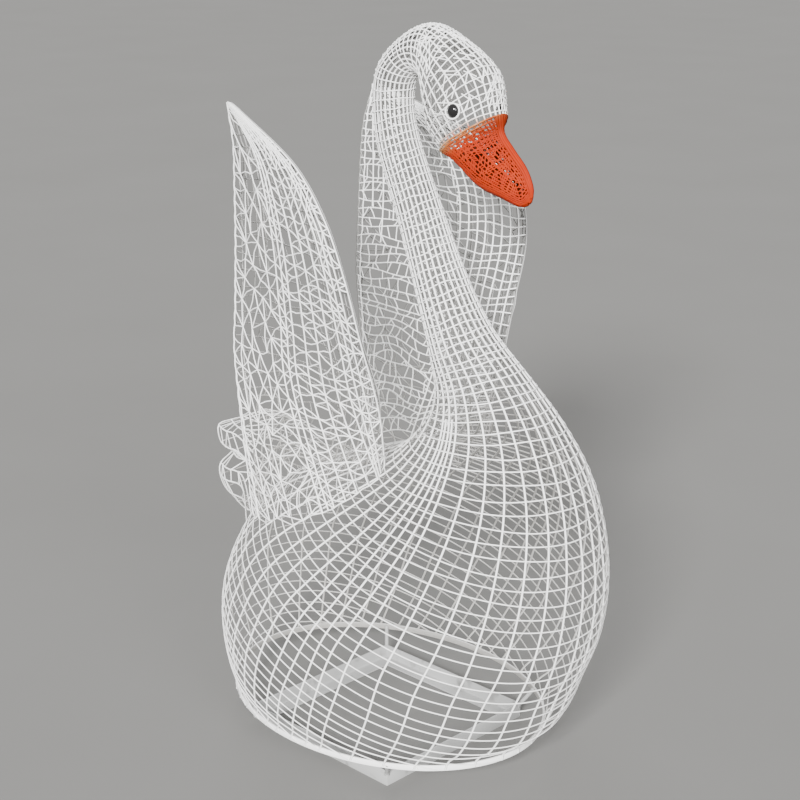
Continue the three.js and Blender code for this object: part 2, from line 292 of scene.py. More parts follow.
def wire_piece(name, strands, resolution=1, taper=None, outward=None):
    """One mesh of round wires with closed ends. A strand is its points in the swan's frame and its radius."""
    curve = bpy.data.curves.new(name, "CURVE")
    curve.dimensions = "3D"
    curve.bevel_depth = MM
    curve.bevel_resolution = resolution
    curve.use_fill_caps = True
    for points, radius, closed in strands:
        spline = curve.splines.new("POLY")
        spline.points.add(len(points) - 1)
        for spot, point in zip(spline.points, points):
            spot.co = (*row_point(*point), 1)
            spot.radius = radius * taper(point) if taper else radius
        spline.use_cyclic_u = closed
        spline.use_smooth = True
    wires = bpy.data.objects.new(name, curve)
    bpy.context.scene.collection.objects.link(wires)
    deselect_all()
    bpy.context.view_layer.objects.active = wires
    wires.select_set(True)
    bpy.ops.object.convert(target="MESH")
    wires = bpy.context.view_layer.objects.active
    if outward:
        mark_inside(wires, outward)
    return wires


def weld_piece(name, spots, outward=None):
    """Small welds, one at each spot: a place in the swan's frame and a radius."""
    deselect_all()
    bpy.ops.mesh.primitive_ico_sphere_add(subdivisions=1, radius=1)
    bead = bpy.context.view_layer.objects.active
    corners = [v.co.copy() for v in bead.data.vertices]
    sides = [tuple(f.vertices) for f in bead.data.polygons]
    bpy.data.objects.remove(bead)
    points, faces = [], []
    for place, radius in spots:
        start = len(points)
        centre = row_point(*place)
        points.extend(centre + corner * radius * MM for corner in corners)
        faces.extend(tuple(start + k for k in side) for side in sides)
    mesh = bpy.data.meshes.new(name)
    mesh.from_pydata(points, [], faces)
    mesh.shade_smooth()
    welds = bpy.data.objects.new(name, mesh)
    bpy.context.scene.collection.objects.link(welds)
    if outward:
        mark_inside(welds, outward)
    return welds


def join(name, pieces):
    """Joins pieces into one with the first one's place."""
    deselect_all()
    for piece in pieces:
        piece.select_set(True)
    bpy.context.view_layer.objects.active = pieces[0]
    bpy.ops.object.join()
    whole = bpy.context.view_layer.objects.active
    whole.name = name
    whole.data.name = name
    return whole


# The net of the body, neck and head.

def long_wire_turn(wire, station):
    """How far round the body a long wire of the table is at a station."""
    neck, shoulder, ring, _ = wire
    if station < SHOULDER:
        return blend(neck, shoulder, ease((station - NECK_FOOT) / (SHOULDER - NECK_FOOT)))
    return blend(shoulder, ring, (station - SHOULDER) / (RING_STATION - SHOULDER))


def cross_wire_stations(turn, start, end):
    """Stations of the cross wires, evenly spaced along one line: close on the neck, wider over the body."""
    stations = [start]
    place, travelled = start, 0.0
    here = body_point(turn, place)
    while place < end:
        spacing = NECK_SPACING + BODY_SPACING_GAIN * ease((place - WIDER_FROM) / WIDER_OVER)
        place += STATION_STEP
        there = body_point(turn, place)
        travelled += (there - here).length
        here = there
        if travelled >= spacing:
            stations.append(place)
            travelled = 0.0
    return stations


def wobble(turn, number):
    """A slow wander of a hand-bent wire, in stations."""
    phase = number * 2.4
    angle = math.radians(turn)
    return WANDER * (math.sin(2 * angle + phase) + 0.6 * math.sin(5 * angle + 2 * phase))


class BodyWire:
    """One long wire of the body: a side, its course and a slow drift."""

    def __init__(self, course, side, drift):
        self.course, self.side, self.drift = course, side, drift
        self.start = course[3] or FACE_STATION

    def turn(self, station):
        drift = self.drift * math.sin(0.9 * station + self.course[0])
        return self.side * (long_wire_turn(self.course, station) + drift)


def body_long_wires(dice):
    """The long wires of both sides. Those on the middle plane are made once."""
    wires = []
    for course in LONG_WIRES:
        for side in (1, -1):
            if side > 0 or course[0] % 180:
                wires.append(BodyWire(course, side, dice.uniform(-0.8, 0.8)))
    return wires


def body_axis():
    """The line through the middles of the body's stations, ready to be searched."""
    count = 6 * LAST_STATION
    axis = KDTree(count + 1)
    for i in range(count + 1):
        x, z, *_ = smooth_row(BODY_STATIONS, i * LAST_STATION / count)
        axis.insert((x, 0, z), i)
    axis.balance()
    return axis


BODY_AXIS = body_axis()


def out_of_body(point):
    """The way out of the body at a point, from the nearest place of its middle line."""
    return point - BODY_AXIS.find(point)[0]


def body_net():
    dice = random.Random(11)
    strands, spots = [], []
    wires = body_long_wires(dice)
    for wire in wires:
        steps = int((LAST_STATION - wire.start) / LINE_STEP)
        places = [wire.start + LINE_STEP * i for i in range(steps + 1)]
        line = [body_point(wire.turn(place), place, LONG_WIRE_OUT) for place in places]
        strands.extend((resample(run, LONG_WIRE_STEP), LONG_WIRE, False) for run in above_ring(line))

    def cross_wire(number, station, first, last):
        turns = [first + i * (last - first) / 180 for i in range(181)]
        line = [body_point(turn, station + wobble(turn, number), CROSS_WIRE_OUT) for turn in turns]
        for run in above_ring(line):
            closed = last - first == 360 and len(run) == 181
            points = resample(run, CROSS_WIRE_STEP)
            strands.append((points[:-1] if closed else points, CROSS_WIRE, closed))
        for wire in wires:
            turn = wire.turn(station) % 360
            if station < wire.start - 0.1 or not first - 1 <= turn <= last + 1:
                continue
            spot = body_point(turn, station + wobble(turn, number), (LONG_WIRE_OUT + CROSS_WIRE_OUT) / 2)
            if spot.z > RING_SEAT:
                spots.append((seat_on_ring(spot), BODY_WELD))

    for number, station in enumerate(cross_wire_stations(SPACING_TURN, 0.0, LAST_STATION - 0.1)):
        cross_wire(number, station, 0, 360)
    # Over the crown the full rings stand far apart, so shorter ones lie between them.
    crown = cross_wire_stations(SPACING_TURN, 0.0, CROWN_END)
    for number, (a, b) in enumerate(zip(crown, crown[1:])):
        cross_wire(100 + number, (a + b) / 2, CROWN_TURN, 360 - CROWN_TURN)
    for _ in range(HEAD_STRUTS):
        first, second = sorted(dice.sample(wires, 2), key=lambda wire: wire.turn(1) % 360)
        station = dice.uniform(*STRUT_STATIONS)
        a, b = first.turn(station) % 360, second.turn(station) % 360
        if STRUT_TURNS[0] < a < STRUT_TURNS[1] and STRUT_REACH[0] < b - a < STRUT_REACH[1]:
            rise = dice.choice((-STRUT_RISE, STRUT_RISE))
            start, end = body_point(a, station, CROSS_WIRE_OUT), body_point(b, station + rise, CROSS_WIRE_OUT)
            strands.append(([start, (start + end) / 2, end], WEB_WIRE, False))
    wires = wire_piece("body_wires", strands, taper=thinned, outward=out_of_body)
    return join("body_net", [wires, weld_piece("body_welds", spots, outward=out_of_body)])


# Webs: short struts between the wires of a wing's skin.

# The shortest strut, and how far the middle of one may lie off the skin.
SHORTEST_STRUT = 4
STRUT_OFF_SKIN = 14


class Skin:
    """One side of a wing. across runs from the leading edge (0) to the trailing edge (1), along from the root."""

    def __init__(self, side, facing):
        self.side, self.facing = side, facing
        self.known = {}

    def point(self, across, along):
        key = (round(across, 4), round(along, 3))
        if key not in self.known:
            turn = self.facing * math.degrees(math.acos(1 - 2 * min(max(across, 0.0), 1.0)))
            spot = wing_point(turn, along)
            self.known[key] = Vector((spot.x, self.side * spot.y, spot.z))
        return self.known[key]

    def flat(self, across, along):
        middle = self.point(0.5, along)
        reach = (self.point(across, along) - middle).length
        return Vector((reach if across > 0.5 else -reach, middle.z))

    def column(self, across, start, end, spacing, dice):
        """Places along a long wire, unevenly spaced."""
        places, along = [], start
        while along < end:
            places.append((across, along))
            pace = (self.point(across, along + 0.05) - self.point(across, along)).length / 0.05
            along += dice.uniform(0.6, 1.4) * spacing / max(pace, 20)
        places.append((across, end))
        return places


def bowed(a, b, middle, dice):
    """A strut from a to b that follows the skin and bends a little."""
    side = (b - a).cross(Vector((0.3, 1, 0.2))).normalized()
    return [a, middle + side * dice.uniform(-0.11, 0.11) * (b - a).length, b]


def web(skin, columns, scattered, dice, wanted):
    """Struts between the columns and the scattered points. wanted says which struts are made.

    Each scatter is its start and end across the wing, the least gap, the number of tries, and its start and end
    along the wing.
    """
    places, edges = [], []
    for column in columns:
        edges.extend((len(places) + i, len(places) + i + 1) for i in range(len(column) - 1))
        places.extend(column)
    spots = [skin.point(*place) for place in places]
    for start, end, gap, tries, low, high in scattered:
        for _ in range(tries):
            place = (dice.uniform(start, end), dice.uniform(low, high))
            here = skin.point(*place)
            if all((spot - here).length > gap for spot in spots):
                places.append(place)
                spots.append(here)
    flat = [skin.flat(*place) for place in places]
    _, links, _, sources, *_ = delaunay_2d_cdt(flat, edges, [], 0, 1e-4)
    fixed = {tuple(sorted(edge)) for edge in edges}
    struts = []
    for a, b in links:
        if not sources[a] or not sources[b]:
            continue
        low, high = sorted((sources[a][0], sources[b][0]))
        if (low, high) in fixed:
            continue
        first, second = places[low], places[high]
        length = (spots[low] - spots[high]).length
        middle = skin.point((first[0] + second[0]) / 2, (first[1] + second[1]) / 2)
        off_skin = (middle - (spots[low] + spots[high]) / 2).length
        if length < SHORTEST_STRUT or off_skin > STRUT_OFF_SKIN or not wanted(first, second, length):
            continue
        struts.append(bowed(spots[low], spots[high], middle, dice))
    return struts, spots


# Wings.

# Wing levels: height, the leading and trailing edges (x, distance from the middle plane) and the thickness.
WING_LEVELS = [
    (720, 141, 160, -237, 168, 88),
    (850, 140, 202, -242, 160, 64),
    (970, 137, 237, -236, 160, 50),
    (1070, 100, 248, -232, 162, 42),
    (1150, 8, 233, -227, 166, 30),
    (1216, -165, 198, -219, 182, 13),
    (1228, -207, 188, -218, 184, 4),
]
# Where the wing grows out of the body: degrees round the wing's section from its leading edge, then the place on
# the body (degrees round it, station).
WING_ROOT = [
    (0, 135, 13.2),
    (40, 124, 13.5),
    (80, 122, 14.6),
    (120, 124, 15.6),
    (160, 138, 16.7),
    (190, 150, 17.3),
    (230, 157, 16.4),
    (280, 154, 15.0),
    (330, 146, 13.7),
]
WING_TAPER = 0.45
# On the outer skin: the spacing of the joints on its front and rear wires, the share of the wing at which its rear
# part starts, the longest strut and the share of struts left out on either part, and the gaps in the web of the
# rear part and in the finer web round the root, which ends at ROOT_WEB_TOP.
FRONT_JOINTS = 21
REAR_JOINTS = 23
REAR_START = 0.55
FRONT_STRUTS = (42, 0.2)
REAR_STRUTS = (80, 0.08)
REAR_WEB_GAP = 31
ROOT_WEB_GAP = 24
ROOT_WEB_TOP = 1.5
# On the inner skin: the grid's columns and row spacing, the spacing of the arched ribs, and three short wires that
# stand in its upper part (across, from level).
GRID_EDGE = 0.36
GRID_COLUMNS = 8
GRID_ROWS = 17
RIB_SPACING = 18.0
SHORT_WIRES = [(0.76, 3.0), (0.83, 2.6), (0.9, 3.2)]
# Long wires of each skin, as shares across it.
OUTER_WIRES = [0.0, 0.03, 0.062, 0.1, 0.17, 0.25, 0.34, 0.43, 0.48, 0.53, 0.975, 1.0]
INNER_WIRES = [0.03, 0.07, 0.115, 0.16, 0.205, 0.25, 0.3, 0.35, 0.96]
# The wires further back than this share of the wing are a little wavy.
REAR_WIRES = 0.95
REAR_WAVE = 2.4
# How much wider the web is on the skins that the photograph doesn't show.
HIDDEN_SKIN = 1.6
TOP_LEVEL = len(WING_LEVELS)


def wing_root(turn):
    """The point of the body from which the left wing's section grows at this turn."""
    rows = WING_ROOT + [(360, *WING_ROOT[0][1:])]
    turn = turn % 360
    for (a, *start), (b, *end) in zip(rows, rows[1:]):
        if a <= turn <= b:
            share = (turn - a) / (b - a)
            return body_point(blend(start[0], end[0], share), blend(start[1], end[1], share))


def wing_section(level, turn):
    """A point of the left wing's section at one of its levels."""
    z, front_x, front_y, back_x, back_y, thick = level
    front, back = Vector((front_x, front_y)), Vector((back_x, back_y))
    chord = front - back
    outward = Vector((-chord.y, chord.x)).normalized()
    angle = math.radians(turn)
    fullness = 1 - WING_TAPER * math.sin(angle / 2) ** 2
    flat = back + chord * (1 + math.cos(angle)) / 2 + outward * thick / 2 * math.sin(angle) * fullness
    return Vector((flat.x, flat.y, z))


def wing_point(turn, level):
    """A point of the left wing: turn is degrees round it from the leading edge, level 0 is its root."""
    rows = [wing_root(turn)] + [wing_section(row, turn) for row in WING_LEVELS]
    return Vector(smooth_row(rows, level))


def outer_skin(side, dice, plainer):
    """Long wires close together in front, and a web of short struts behind them."""
    skin = Skin(side, 1)
    columns = []
    for across in OUTER_WIRES:
        spacing = REAR_JOINTS if across > 0.5 else FRONT_JOINTS
        columns.append(skin.column(across, 0.0, TOP_LEVEL, spacing * plainer, dice))

    def wanted(first, second, length):
        longest, left_out = REAR_STRUTS if max(first[0], second[0]) > REAR_START else FRONT_STRUTS
        return length < longest * plainer and dice.random() > left_out

    rear_web = (0.60, 0.93, REAR_WEB_GAP * plainer, 1500, 0.1, TOP_LEVEL - 0.4)
    root_web = (0.56, 0.93, ROOT_WEB_GAP * plainer, 900, 0.0, ROOT_WEB_TOP)
    struts, spots = web(skin, columns, [rear_web, root_web], dice, wanted)
    return skin, [(across, 0.0, TOP_LEVEL) for across in OUTER_WIRES], struts, spots


def inner_skin(side, dice, plainer):
    """A grid behind the leading edge, and arched ribs with short wires from there on."""
    skin = Skin(side, -1)
    upright = [(across, 0.0, TOP_LEVEL) for across in INNER_WIRES]
    upright += [(across, start, TOP_LEVEL) for across, start in SHORT_WIRES]
    struts, spots = [], []
    # A regular grid behind the leading edge.
    along = 0.3
    while along < TOP_LEVEL - 0.1:
        row = [
            skin.point(i * GRID_EDGE / GRID_COLUMNS, along + 0.03 * math.sin(i + 7 * along))
            for i in range(GRID_COLUMNS + 1)
        ]
        struts.append(row)
        spots.extend(row[1:])
        pace = (skin.point(0.2, along + 0.1) - skin.point(0.2, along)).length / 0.1
        along += dice.uniform(0.85, 1.15) * GRID_ROWS * plainer / pace
    # Arched ribs from there to the trailing edge, with short wires standing between them.
    ribs = []
    along = 0.15
    while along < TOP_LEVEL - 0.15:
        arch, slope = dice.uniform(0.03, 0.1), dice.uniform(-0.05, 0.05)
        ribs.append((along, arch, slope))
        pace = (skin.point(0.7, along + 0.1) - skin.point(0.7, along)).length / 0.1
        along += dice.uniform(0.75, 1.25) * RIB_SPACING * plainer / pace

    def rib_place(rib, across):
        along, arch, slope = rib
        share = (across - GRID_EDGE) / (1 - GRID_EDGE)
        wave = arch * math.sin(math.pi * share) + slope * math.sin(3 * math.pi * share)
        return skin.point(across, min(max(along + wave, 0.0), TOP_LEVEL))

    for rib in ribs:
        line = [rib_place(rib, blend(GRID_EDGE - 0.01, 1.0, i / 14)) for i in range(15)]
        struts.append(line)
    for low, high in zip(ribs, ribs[1:]):
        across = GRID_EDGE + dice.uniform(0.01, 0.05)
        while across < 0.97:
            a = rib_place(low, across)
            b = rib_place(high, min(max(across + dice.uniform(-0.04, 0.04), GRID_EDGE), 1.0))
            struts.append(bowed(a, b, (a + b) / 2, dice))
            spots.extend((a, b))
            across += dice.uniform(0.04, 0.1) * plainer
    return skin, upright, struts, spots


def wing_net(name, side, seed):
    """A wing. The skin that the photograph shows, outer on the right and inner on the left, is the finer one."""
    dice = random.Random(seed)
    pieces = []
    for make_skin, facing in ((outer_skin, 1), (inner_skin, -1)):
        plainer = 1.0 if facing == -side else HIDDEN_SKIN
        skin, upright, struts, spots = make_skin(side, dice, plainer)
        strands = []
        for across, start, end in upright:
            steps = round((end - start) * 12)
            line = [skin.point(across, blend(start, end, i / steps)) for i in range(steps + 1)]
            line = resample(line, 9 if across > REAR_WIRES else 14)
            if across > REAR_WIRES:
                line = [spot - Vector((REAR_WAVE * abs(math.sin(0.9 * i)), 0, 0)) for i, spot in enumerate(line)]
            strands.append((line, WING_WIRE, False))
        strands.extend((strut, WEB_WIRE, False) for strut in struts)

        def out_of_wing(point, facing=facing):
            return Vector((0.1, facing * side, 0.0))

        pieces.append(wire_piece(name + "_wires", strands, outward=out_of_wing))
        pieces.append(weld_piece(name + "_welds", [(spot, WEB_WELD) for spot in spots], outward=out_of_wing))
    return join(name, pieces)


# Tail.

# Tail levels: x, centre height, half-height, half-width and the share of the width left in the side notches.
TAIL_LEVELS = [(-330, 458, 76, 84, 0.9), (-385, 460, 78, 80, 0.65), (-418, 462, 78, 69, 0.42)]
TAIL_END_NOTCH = TAIL_LEVELS[-1][4]
# The tail's outline from the bottom round by the right, as shares of its half-width and its half-height.
TAIL_OUTLINE = [
    (0, -1.25), (-0.5, -1.12), (-0.82, -0.8), (-1, -0.4), (-0.96, -0.08), (-0.5, 0.14), (-0.62, 0.3),
    (-0.93, 0.5), (-1, 0.98), (-0.5, 1.02),
]
TAIL_OUTLINE += [(0, 1)] + [(-across, up) for across, up in reversed(TAIL_OUTLINE[1:])]
TAIL_CORNERS = len(TAIL_OUTLINE)
# Where the tail grows out of the body, in the same order: degrees round the body, station.
TAIL_ROOT = [
    (180, 17.4), (-152, 17.8), (-148, 17.0), (-150, 16.4), (180, 16.2), (150, 16.4), (148, 17.0), (152, 17.8),
]
TAIL_ROWS = 7
# Struts over the open end, between two corners each.
TAIL_END_STRUTS = ((2, 18), (3, 17), (5, 15), (7, 13), (8, 12))


def tail_point(corner, level):
    """A point of the tail: corner counts round its outline from the bottom by the right, level 0 is its root."""
    place = (corner % TAIL_CORNERS) * len(TAIL_ROOT) / TAIL_CORNERS
    first = int(place) % len(TAIL_ROOT)
    a, b = TAIL_ROOT[first], TAIL_ROOT[(first + 1) % len(TAIL_ROOT)]
    rows = [body_point(*a).lerp(body_point(*b), place - int(place))]
    number = int(corner) % TAIL_CORNERS
    around = [TAIL_OUTLINE[(number + k) % TAIL_CORNERS] for k in (-1, 0, 1, 2)]
    across, up = smooth_row(around, 1 + corner - int(corner))
    for x, z, high, wide, notch in TAIL_LEVELS:
        shallow = across + (math.copysign(1, across) - across) * (notch - TAIL_END_NOTCH) if across else 0.0
        rows.append(Vector((x, shallow * wide, z + up * high)))
    return Vector(smooth_row(rows, level))


def tail_net():
    dice = random.Random(31)
    strands, spots = [], []
    top = len(TAIL_LEVELS)
    for corner in range(TAIL_CORNERS):
        line = [tail_point(corner, j * top / 20) for j in range(21)]
        strands.append((resample(line, 14), WING_WIRE, False))
    joints = [
        [tail_point(corner, (j + dice.uniform(-0.25, 0.25)) * top / TAIL_ROWS) for j in range(1, TAIL_ROWS)]
        for corner in range(TAIL_CORNERS)
    ]
    for i, column in enumerate(joints):
        beside = joints[(i + 1) % TAIL_CORNERS]
        for j, spot in enumerate(column):
            spots.append((spot, WEB_WELD))
            other = beside[min(max(j + dice.choice((-1, 0, 0, 1)), 0), len(beside) - 1)]
            strands.append(([spot, (spot + other) / 2, other], WEB_WIRE, False))
    rim = [tail_point(t * 0.25, top) for t in range(4 * TAIL_CORNERS + 1)]
    strands.append((resample(rim, 8)[:-1], WING_WIRE, True))
    for a, b in TAIL_END_STRUTS:
        first, second = tail_point(a, top), tail_point(b, top)
        strands.append(([first, (first + second) / 2 + Vector((-2, 0, 0)), second], WEB_WIRE, False))

    def out_of_tail(point):
        return Vector((-20, point.y, point.z - TAIL_LEVELS[1][1]))

    wires = wire_piece("tail_wires", strands, outward=out_of_tail)
    return join("tail_net", [wires, weld_piece("tail_welds", spots, outward=out_of_tail)])


# Beak.

# Sections from the face to the tip: the top and the bottom point (x, z), the half-width, and how far round from
# the ridge the lower edge lies, in degrees.
BEAK_SECTIONS = [
    (277, 1237, 160, 1161, 54, 150),
    (280, 1206, 193, 1151, 50, 146),
    (302, 1181, 245, 1113, 42, 142),
    (331, 1152, 294, 1098, 31, 141),
    (346, 1124, 327, 1088, 18, 144),
    (347, 1106, 340, 1093, 5, 165),
]
# How full the section is at the face and beyond it, and how much narrower it is above the middle than below.
BEAK_FULLNESS = (1.03, 0.8)
BEAK_TOP_TAPER = (0.2, 0.5)
BEAK_END = len(BEAK_SECTIONS) - 1
# Loops of a side: the bands along the edge and their spacing, then the net's loops, where they start and their
# spacing, as shares across the side. A strut between loops is at most BEAK_STRUT long.
BEAK_BANDS = 3
BEAK_BAND_STEP = 0.024
BEAK_LOOPS = 9
BEAK_LOOP_START = 0.075
BEAK_LOOP_STEP = 0.052
BEAK_STRUT = 14
# The powers that square a loop's corners and round its end at the tip.
LOOP_CORNERS = 0.35
LOOP_END = 0.6
# Rows near the face, lengthwise wires of a side, and rings round the beak with their spacing in levels.
BEAK_FACE_ROWS = 7
BEAK_FACE_ROW_STEP = 0.2
BEAK_LENGTHWISE = (0.12, 0.25, 0.37, 0.5, 0.62, 0.75, 0.87, 1.0)
BEAK_RINGS = 44
BEAK_RING_STEP = 0.11
# The middle line of the hollow inside, from the face towards the tip (x, z).
BEAK_CORE = ((220, 1195), (330, 1107))
BEAK_TIP = (341, 0, 1100)


def beak_point(turn, level):
    """A point of the beak: turn is degrees round it from the ridge towards the left, level 0 is the face."""
    top_x, top_z, bottom_x, bottom_z, wide, _ = smooth_row(BEAK_SECTIONS, level)
    angle = math.radians(turn)
    share = (1 + math.cos(angle)) / 2
    beyond = ease(level / 0.8)
    fullness, taper = blend(*BEAK_FULLNESS, beyond), blend(*BEAK_TOP_TAPER, beyond)
    return Vector((
        blend(bottom_x, top_x, share),
        wide * math.sin(angle) * (fullness - taper * math.cos(angle)),
        blend(bottom_z, top_z, share),
    ))


def beak_side_point(side, across, level):
    """A point of the beak's side: across is 0 on the lower edge and 1 on the ridge."""
    return beak_point(side * beak_edge(level) * (1 - across), level)


def beak_loop(side, inset):
    """A wire from the face along the lower edge, round the tip and back up beside the ridge."""
    line = []
    for i in range(61):
        angle = math.pi * i / 60
        swing = math.cos(angle)
        across = 0.5 - (0.5 - inset) * math.copysign(abs(swing) ** LOOP_CORNERS, swing)
        level = (BEAK_END - 4 * inset) * math.sin(angle) ** LOOP_END
        line.append(beak_side_point(side, across, level))
    return line


def beak_line(place, spacing):
    """A wire from the face to the tip. place gives its turn at a level."""
    return resample([beak_point(place(0.1 * j), 0.1 * j) for j in range(10 * BEAK_END + 1)], spacing)


def beak_edge(level):
    """How far round from the ridge the lower edge lies, in degrees."""
    return smooth_row(BEAK_SECTIONS, level)[5]


def beak_net():
    dice = random.Random(17)
    strands = []
    for side in (1, -1):
        # Packed wires along the lower edge, then a net of nested loops with short struts between them.
        bands = [resample(beak_loop(side, BEAK_BAND_STEP * k), 6) for k in range(BEAK_BANDS)]
        strands.extend((band, BEAK_BAND, False) for band in bands)
        loops = [
            resample(beak_loop(side, BEAK_LOOP_START + BEAK_LOOP_STEP * k), 4) for k in range(BEAK_LOOPS)
        ]
        strands.extend((loop, BEAK_WIRE, False) for loop in loops)
        for outer, inner in zip(loops, loops[1:]):
            for i in range(1, len(inner) - 1):
                end = min(outer, key=lambda spot: (spot - inner[i]).length)
                end = outer[min(max(outer.index(end) + dice.choice((-1, 1)), 0), len(outer) - 1)]
                if (end - inner[i]).length < BEAK_STRUT and dice.random() < 0.9:
                    strands.append(([inner[i], end], BEAK_WIRE * 0.9, False))
        for k in range(BEAK_FACE_ROWS):
            level = BEAK_FACE_ROW_STEP * k
            line = [beak_side_point(side, blend(0.06, 0.94, t / 20), level) for t in range(21)]
            strands.append((resample(line, 6), BEAK_WIRE * 0.9, False))
        for share in BEAK_LENGTHWISE:
            line = beak_line(lambda level: side * blend(beak_edge(level), 180, share), 8)
            strands.append((line, BEAK_WIRE * 1.3, False))
    # The ridge: wires packed side by side.
    for k in range(-2, 3):
        strands.append((beak_line(lambda level: k * (7.0 + 2.2 * level), 6), BEAK_RIDGE, False))
    for k in range(BEAK_RINGS):
        level = BEAK_RING_STEP * k
        edge = beak_edge(level)
        line = [beak_point(edge + (360 - 2 * edge) * t / 20, level) for t in range(21)]
        strands.append((resample(line, 8), BEAK_WIRE, False))
    collar = [beak_point(t * 6, 0) for t in range(61)]
    strands.append((resample(collar, 7)[:-1], BEAK_WIRE * 1.3, True))

    def out_of_beak(point):
        (start_x, start_z), (end_x, end_z) = BEAK_CORE
        share = min(max((point.x - start_x) / (end_x - start_x), 0.0), 1.0)
        return point - Vector((blend(start_x, end_x, share), 0, blend(start_z, end_z, share)))

    wires = wire_piece("beak_wires", strands, outward=out_of_beak)
    return join("beak_net", [wires, weld_piece("beak_tip", [(BEAK_TIP, 7.0)])])


# Eyes, ring and base.

def eye(node):
    """A glossy ball, flatter outwards, that stands out a little from the net."""
    low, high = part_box(node)
    centre, radius = (low + high) / 2, EYE_RADIUS * MM
    deselect_all()
    bpy.ops.mesh.primitive_uv_sphere_add(segments=48, ring_count=24, radius=radius)
    bpy.ops.object.mode_set(mode="EDIT")
    bpy.ops.mesh.select_all(action="SELECT")
    bpy.ops.transform.resize(value=EYE_SHAPE)
    bpy.ops.transform.translate(value=centre)
    bpy.ops.object.mode_set(mode="OBJECT")
    ball = bpy.context.view_layer.objects.active
    ball.name = node + "_ball"
    bpy.ops.object.shade_smooth()
    return ball


def eye_socket(node):
    """The ring of wire round an eye."""
    low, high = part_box(node)
    centre, radius = (low + high) / 2, EYE_RADIUS * MM
    out = math.copysign(1, centre.y)
    deselect_all()
    bpy.ops.mesh.primitive_torus_add(
        major_segments=40, minor_segments=8, major_radius=radius + MM, minor_radius=SOCKET_WIRE * MM)
    ring = bpy.context.view_layer.objects.active
    aim = Vector((SOCKET_AIM[0], out, SOCKET_AIM[1])).normalized()
    turn = Vector((0, 0, 1)).rotation_difference(aim)
    ring.data.transform(turn.to_matrix().to_4x4())
    ring.data.transform(Matrix.Translation(centre + Vector((0, out * 2 * MM, 0))))
    ring.name = node + "_socket"
    bpy.ops.object.shade_smooth()
    return ring


def bevel(piece, width, segments):
    """Rounds a piece's sharp edges."""
    modifier = piece.modifiers.new("edges", "BEVEL")
    modifier.width = width
    modifier.segments = segments
    modifier.limit_method = "ANGLE"
    bpy.context.view_layer.objects.active = piece
    bpy.ops.object.modifier_apply(modifier=modifier.name)


def base_ring():
    """The flat hoop that closes the body below, rolled from bar."""
    deselect_all()
    bpy.ops.mesh.primitive_circle_add(vertices=160, radius=1)
    ring = bpy.context.view_layer.objects.active
    bpy.ops.object.mode_set(mode="EDIT")
    bpy.ops.mesh.select_all(action="SELECT")
    half = (RING_HIGH - RING_LOW) / 2
    bpy.ops.transform.resize(value=(half.x, half.y, 1))
    bpy.ops.transform.translate(value=((RING_LOW.x + RING_HIGH.x) / 2, 0, RING_HIGH.z - RING_HEIGHT * MM))
    bpy.ops.mesh.extrude_edges_move(TRANSFORM_OT_translate={"value": (0, 0, RING_HEIGHT * MM)})
    bpy.ops.mesh.select_all(action="SELECT")
    bpy.ops.mesh.normals_make_consistent(inside=False)
    bpy.ops.object.mode_set(mode="OBJECT")
    wall = ring.modifiers.new("wall", "SOLIDIFY")
    wall.thickness = RING_WALL * MM
    wall.offset = -1
    bpy.ops.object.modifier_apply(modifier=wall.name)
    bevel(ring, 0.6 * MM, 2)
    mark_inside(ring, lambda point: Vector((point.x, point.y, 0)))
    ring.name = "base_hoop"
    bpy.ops.object.shade_smooth_by_angle(angle=math.radians(35))
    return ring


def angle_base():
    """The square of steel angle with mitred corners, and the struts that carry the ring."""
    half, leg, wall = FRAME_SIDE / 2, ANGLE_LEG, ANGLE_WALL
    profile = [(0, 0), (0, leg), (wall, leg), (wall, wall + 2), (wall + 2, wall), (leg, wall), (leg, 0)]
    points, faces = [], []
    for sign_x, sign_y in CORNERS:
        for inset, height in profile:
            points.append(row_point(sign_x * (half - inset), sign_y * (half - inset), height))
    count = len(profile)
    for corner in range(4):
        for k in range(count):
            a, b = corner * count + k, corner * count + (k + 1) % count
            beyond = ((corner + 1) % 4 - corner) * count
            faces.append((a, a + beyond, b + beyond, b))
    mesh = bpy.data.meshes.new("angle_base")
    mesh.from_pydata(points, [], faces)
    square = bpy.data.objects.new("angle_base", mesh)
    bpy.context.scene.collection.objects.link(square)
    deselect_all()
    square.select_set(True)
    bpy.context.view_layer.objects.active = square
    bpy.ops.object.mode_set(mode="EDIT")
    bpy.ops.mesh.select_all(action="SELECT")
    bpy.ops.mesh.normals_make_consistent(inside=False)
    bpy.ops.object.mode_set(mode="OBJECT")
    bevel(square, 0.8 * MM, 2)
    bpy.ops.object.shade_smooth_by_angle(angle=math.radians(35))
    strands, spots = [], []
    foot = half - wall
    reach = 1 / math.hypot(1 / (RING_OUTLINE[0] - RING_WALL), 1 / (RING_OUTLINE[1] - RING_WALL))
    for sign_x, sign_y in CORNERS:
        low = Vector((sign_x * foot, sign_y * foot, ANGLE_LEG - 6))
        high = Vector((sign_x * reach, sign_y * reach, RING_SEAT + 3))
        strands.append(([low, (low + high) / 2, high], STRUT_RADIUS, False))
        spots.extend(((low, STRUT_FOOT_WELD), (high, STRUT_TOP_WELD)))
        for height in CORNER_WELD_HEIGHTS:
            spots.append((Vector((sign_x * (half - 1.2), sign_y * (half - 1.2), height)), WEB_WELD))
    struts = wire_piece("struts", strands, 4)
    return join("angle_base", [square, struts, weld_piece("base_welds", spots)])


# Finishes.

